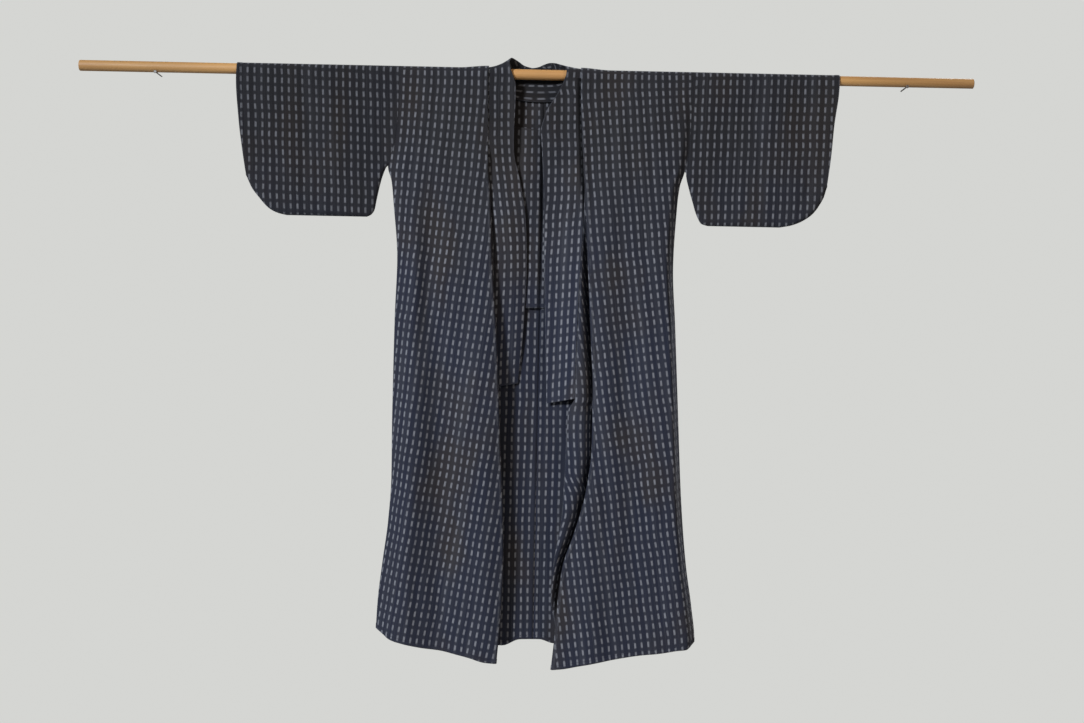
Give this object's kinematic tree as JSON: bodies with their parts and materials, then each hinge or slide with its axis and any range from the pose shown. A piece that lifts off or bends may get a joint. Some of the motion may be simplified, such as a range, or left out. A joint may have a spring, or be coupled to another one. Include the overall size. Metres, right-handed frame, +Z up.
{
  "type": "kimono-cut haori on a wooden hanging rod",
  "caption": "Unlined cotton haori cut like a kimono, hung open with its sleeves spread along a slim wooden rod on wall nails.",
  "frame": {"origin": "on the rod's axis, in the middle of the garment's neck opening, where the rod is held level", "axes": "+X along the rod to the viewer's right (the wearer's left), -Y to the viewer, +Z up"},
  "size_m": [1.923, 0.0806, 1.3114],
  "materials": {
    "cloth": "dark indigo-charcoal cotton with rows of small pale woven dashes",
    "wood": "plain light wood, lightly oiled",
    "steel": "dull wire nail"
  },
  "bodies": {
    "root": {"rod": "wood", "nail_right": "steel", "nail_left": "steel", "body_right": "cloth", "body_left": "cloth", "sleeve_right": "cloth", "sleeve_left": "cloth", "overlap_right": "cloth", "overlap_left": "cloth", "collar": "cloth", "shoulder_patch": "cloth"}
  },
  "joints": []
}
